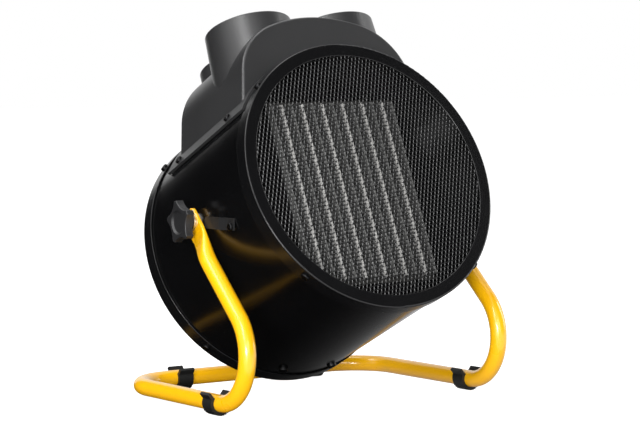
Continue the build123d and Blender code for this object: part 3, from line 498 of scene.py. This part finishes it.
def pull(cell):
    """Widens a cell's two bonds, thins its links and twists its strands, as pulled sheet has."""
    inside = CELL_RADIUS - CELL_WEB * 0.3        # between the outer corners and the hole's own
    for corner in cell.data.vertices:
        turn = round(math.degrees(math.atan2(corner.co.y, corner.co.x))) % 360
        if corner.co.length < inside:
            for angle, squeeze in SQUEEZES:
                across = Vector((math.cos(angle), math.sin(angle), 0))
                corner.co -= across * corner.co.dot(across) * (1 - squeeze)
            corner.co.z = STRAND_TWIST if turn < 180 else -STRAND_TWIST
        else:
            corner.co.z = CORNER_RISE * (1 if turn in RAISED_CORNERS else -1)


def net_cell(name):
    """A hexagon whose middle is taken out."""
    start_clean()
    bpy.ops.mesh.primitive_circle_add(vertices=6, radius=CELL_RADIUS, fill_type="NGON")
    cell = bpy.context.object
    cell.name = name
    bpy.ops.object.mode_set(mode="EDIT")
    bpy.ops.mesh.inset(thickness=CELL_WEB / 2)
    bpy.ops.mesh.delete(type="FACE")
    bpy.ops.object.mode_set(mode="OBJECT")
    pull(cell)
    return cell


# %% The net at each end
MESH_RADIUS = 110.0 * MM
MESH_TURN = math.radians(9.5)                    # its rows don't lie quite level
MESH_THICK = 0.14 * MM
MESH_PLACES = (("front", 90.17 * MM), ("rear", -90.47 * MM))     # along the drum's axis
SPARE = 2                                        # rows and holes more than the width needs


def mesh_sheet(name):
    """Copies a cell in rows, cuts the sheet round and gives it its thickness."""
    net = net_cell(name)
    row_step = CELL_PITCH * math.sqrt(3) / 2
    rows = int(2 * MESH_RADIUS / row_step) + SPARE
    count = int(2 * MESH_RADIUS / CELL_PITCH) + SPARE + rows // 2
    array(net, count, (CELL_PITCH, 0, 0))
    array(net, rows, (CELL_PITCH / 2, row_step, 0))
    apply_all(net)
    half_width = (count - 1) / 2 * CELL_PITCH + (rows - 1) / 4 * CELL_PITCH
    centred = Matrix.Translation((-half_width, -(rows - 1) / 2 * row_step, 0))
    settle(net, Matrix.Rotation(MESH_TURN, 4, "Z") @ centred)
    bpy.ops.object.mode_set(mode="EDIT")
    dropped = select_faces(net, lambda face: face.calc_center_median().length > MESH_RADIUS)
    bpy.ops.mesh.delete(type="FACE")
    bpy.ops.object.mode_set(mode="OBJECT")
    wall = net.modifiers.new("wall", "SOLIDIFY")
    wall.thickness = MESH_THICK
    wall.offset = 1.0
    apply_all(net)
    print(name, "dropped", dropped, "faces, kept", len(net.data.polygons))
    return net


for word, middle_u in MESH_PLACES:
    net = mesh_sheet(f"{word}_fine_mesh")
    settle(net, on_drum(0, middle_u, 0))
    dress(net, "mesh_paint")
    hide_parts(f"{word}_mesh")
    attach(net, "heater")

# %% [markdown]
# ## Printed marks
# The two dials stand in wells, and a well's floor carries the printed scale that the dial's
# pointer reads against: plain numbers and short lines, all of them white. They are text and thin
# blocks made into meshes and turned about the dial's middle. The groove in each grip bar is
# filled with the same white.

# %% Helpers for marks
WELL_X = 41.0 * MM
WELL_U = 29.6 * MM
PRINT = 0.12 * MM
NUMBER_SIZE = 5.4 * MM


def on_well(x, height):
    """The matrix that lays a shape on a well's floor: its y points to the heater's rear."""
    return drum_frame() @ Matrix.Translation((x, -WELL_U, height))


def round_dial(angle, radius):
    """The matrix that moves a mark out from the dial's middle and turns it about that."""
    return Matrix.Rotation(-angle, 4, "Z") @ Matrix.Translation((0, radius, 0))


def number(text, angle, radius):
    """A printed number whose middle is this far out."""
    start_clean()
    bpy.ops.object.text_add()
    made = bpy.context.object
    made.data.body = text
    made.data.size = NUMBER_SIZE
    made.data.extrude = PRINT / 2
    made.data.align_x = "CENTER"
    made.data.align_y = "CENTER"
    made.data.resolution_u = 4
    bpy.ops.object.convert(target="MESH")
    made = bpy.context.object
    settle(made, round_dial(angle, radius))
    return made


def tick(angle, inner, length, width):
    """A printed line that starts this far out."""
    start_clean()
    bpy.ops.mesh.primitive_cube_add(size=1)
    made = bpy.context.object
    made.scale = (width, length, PRINT)
    bpy.ops.object.transform_apply(location=False, rotation=False, scale=True)
    bpy.ops.object.mode_set(mode="EDIT")
    bpy.ops.mesh.select_mode(type="EDGE")
    bpy.ops.mesh.select_all(action="SELECT")
    bpy.ops.mesh.bevel(offset=PRINT * 0.3, segments=1, affect="EDGES")
    bpy.ops.object.mode_set(mode="OBJECT")
    settle(made, round_dial(angle, inner + length / 2))
    return made


def join(pieces, name):
    """Joins pieces into the first of them."""
    start_clean()
    for piece in pieces:
        piece.select_set(True)
    bpy.context.view_layer.objects.active = pieces[0]
    bpy.ops.object.join()
    joined = bpy.context.object
    joined.name = name
    return joined


# %% Numbers, ticks and pointer of each dial
WELL_FLOOR = 130.0 * MM
GRIP_TOP = WELL_FLOOR + 20.62 * MM
NUMBER_RADIUS = 30.7 * MM
TICK_START = 28.6 * MM
TICK_LENGTH = 2.2 * MM
TICK_WIDTH = 0.45 * MM
TICKS_BETWEEN = (0.25, 0.5, 0.75)                # shares of the way to the next number
POINTER_START = 14.6 * MM
POINTER_LENGTH = 6.8 * MM
POINTER_WIDTH = 1.36 * MM
# Word, place, body, numbers, the first number's angle and the angle between two numbers.
SCALES = (
    ("thermostat", -WELL_X, "thermostat_dial", ("1", "2", "3", "4", "5", "6", "7"), -135, 45),
    ("power", WELL_X, "power_dial", ("0", "1", "2", "3"), 0, 45),
)

for word, x, dial, numbers, first, step in SCALES:
    marks = []
    for index, text in enumerate(numbers):
        angle = math.radians(first + index * step)
        marks.append(number(text, angle, NUMBER_RADIUS))
        if index + 1 < len(numbers):
            for share in TICKS_BETWEEN:
                between = angle + math.radians(step * share)
                marks.append(tick(between, TICK_START, TICK_LENGTH, TICK_WIDTH))
    scale = join(marks, f"{word}_scale")
    settle(scale, on_well(x, WELL_FLOOR + PRINT))
    dress(scale, "marking")
    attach(scale, "heater")
    pointer = tick(0.0, POINTER_START, POINTER_LENGTH, POINTER_WIDTH)
    pointer.name = f"{word}_pointer"
    settle(pointer, on_well(x, GRIP_TOP))
    dress(pointer, "marking")
    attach(pointer, dial)
    print(word, "scale with", len(marks), "marks")

# %% [markdown]
# ## Floor and light
# The heater stands on white paper that runs on behind it. White is the paper's own colour for
# the camera, and not more light on the heater: a share of plain emission shows only to camera,
# mirror and glass rays, and the rest is ordinary paper that keeps the soft shadow. Black things
# are lit by what they mirror, so three dark cards stand where the outlet, the drum and its lower
# side look, as a photographer would put them. The third one brightens to the right and gives the
# soft light along the drum's lower edge. Large soft lamps give the long highlights on the tubes.

# %% Floor
FLOOR_SIZE = 40.0
PAPER_GLOW = 0.95

start_clean()
bpy.ops.mesh.primitive_plane_add(size=FLOOR_SIZE)
floor = bpy.context.object
floor.name = "paper_floor"


def seen_directly(tree):
    """1 for camera, mirror and glass rays, 0 for the light that reaches things."""
    rays = tree.nodes.new("ShaderNodeLightPath")
    total = rays.outputs["Is Camera Ray"]
    for name in ("Is Glossy Ray", "Is Transmission Ray"):
        both = tree.nodes.new("ShaderNodeMath")
        both.operation = "MAXIMUM"
        tree.links.new(total, both.inputs[0])
        tree.links.new(rays.outputs[name], both.inputs[1])
        total = both.outputs[0]
    return total


paper = Finish("white_paper", (0.55, 0.55, 0.55), 0.9, Specular_IOR_Level=0.0)
fibre = paper.noise(3.0, 4.0)
paper.colour(paper.blend(fibre, (0.56, 0.56, 0.56), (0.54, 0.54, 0.54)))
glow = paper.tree.nodes.new("ShaderNodeEmission")
paper.tree.links.new(seen_directly(paper.tree), glow.inputs["Strength"])
glow.inputs["Color"].default_value = (PAPER_GLOW, PAPER_GLOW, PAPER_GLOW, 1.0)
both = paper.tree.nodes.new("ShaderNodeAddShader")
paper.tree.links.new(paper.surface.outputs[0], both.inputs[0])
paper.tree.links.new(glow.outputs[0], both.inputs[1])
paper.tree.links.new(both.outputs[0], paper.tree.nodes["Material Output"].inputs["Surface"])
floor.data.materials.append(paper.material)
print("floor", floor.dimensions[0], "m wide")

# %% Room
ROOM_LIGHT = 0.3

world = bpy.data.worlds.new("studio")
bpy.context.scene.world = world
world.use_nodes = True
room = world.node_tree
surround = room.nodes["Background"]
strength = room.nodes.new("ShaderNodeMapRange")
room.links.new(seen_directly(room), strength.inputs["Value"])
strength.inputs["To Min"].default_value = ROOM_LIGHT
strength.inputs["To Max"].default_value = 1.0
room.links.new(strength.outputs["Result"], surround.inputs["Strength"])
surround.inputs["Color"].default_value = (1.0, 1.0, 1.0, 1.0)
print("room light", ROOM_LIGHT)

# %% Dark cards
RAMP_START = -0.06                               # metres to the right of a card's middle
RAMP_END = 0.3


def facing(place, away):
    """The matrix at a place whose z points this way."""
    turn = away.normalized().to_track_quat("Z", "Y").to_matrix().to_4x4()
    return Matrix.Translation(place) @ turn


def dark_card(name, place, faces, width, height, level=0.0):
    """A card that only mirrors see. On the floor it brightens to this level at the right."""
    start_clean()
    bpy.ops.mesh.primitive_plane_add(size=1.0)
    card = bpy.context.object
    card.name = name
    size = Matrix.Diagonal((width, height, 1.0, 1.0))
    card.matrix_world = facing(place, Vector(place) - Vector(faces)) @ size
    felt = Finish(name, (0.01, 0.01, 0.01), 0.9, Specular_IOR_Level=0.0, Emission_Strength=1.0)
    across = felt.node("SeparateXYZ", {}, {"Vector": felt.place}, "X")
    ramp = felt.step(across * -width, RAMP_START, RAMP_END)
    shade = felt.blend(ramp * ramp, (0, 0, 0), (level, level, level))
    felt.plug(felt.surface.inputs["Emission Color"], shade)
    card.data.materials.append(felt.material)
    card.visible_camera = False
    card.visible_diffuse = False
    card.visible_shadow = False
    card.visible_transmission = False


dark_card("outlet_card", (1.9, -2.1, 1.5), PIVOT, width=4.6, height=5.4)
dark_card("drum_card", (-1.9, 3.1, 0.9), PIVOT, width=5.0, height=3.6)
dark_card("floor_card", (0.0, 2.34, 0.0004), (0.0, 2.34, 1.0), width=6.0, height=5.0, level=1.3)
print("cards set")

# %% Lamps
middle = (packed_low + packed_high) / 2


def lamp(name, place, width, height, level):
    """A soft box that aims at the heater. White that faces it squarely renders at this level."""
    light = bpy.data.lights.new(name, "AREA")
    light.shape = "RECTANGLE"
    light.size = width
    light.size_y = height
    back = Vector(place) - middle
    light.energy = level * math.pi ** 2 * back.length ** 2
    made = bpy.data.objects.new(name, light)
    bpy.context.scene.collection.objects.link(made)
    made.matrix_world = facing(place, back)
    print(name, "at", round(back.length, 2), "m,", round(light.energy, 1), "W")


lamp("key_lamp", (-2.1, -1.5, 1.9), width=0.9, height=1.6, level=0.46)
lamp("strip_lamp", (-1.27, 0.35, 1.9), width=1.5, height=0.7, level=0.4)
lamp("top_lamp", (0.3, 0.3, 2.4), width=1.0, height=0.8, level=0.2)
lamp("side_lamp", (2.2, -0.7, 0.9), width=0.6, height=1.5, level=0.34)
lamp("front_lamp", (-0.6, -2.6, 0.7), width=1.2, height=1.0, level=0.18)
lamp("low_lamp", (-1.7, -1.9, 0.3), width=0.9, height=0.5, level=0.72)

# %% [markdown]
# ## Finishing
# Colours are shown as written, with no film look. A line of numbers near the start records the box
# of the packed parts.

# %% Colour handling
bpy.context.scene.view_settings.view_transform = "Standard"
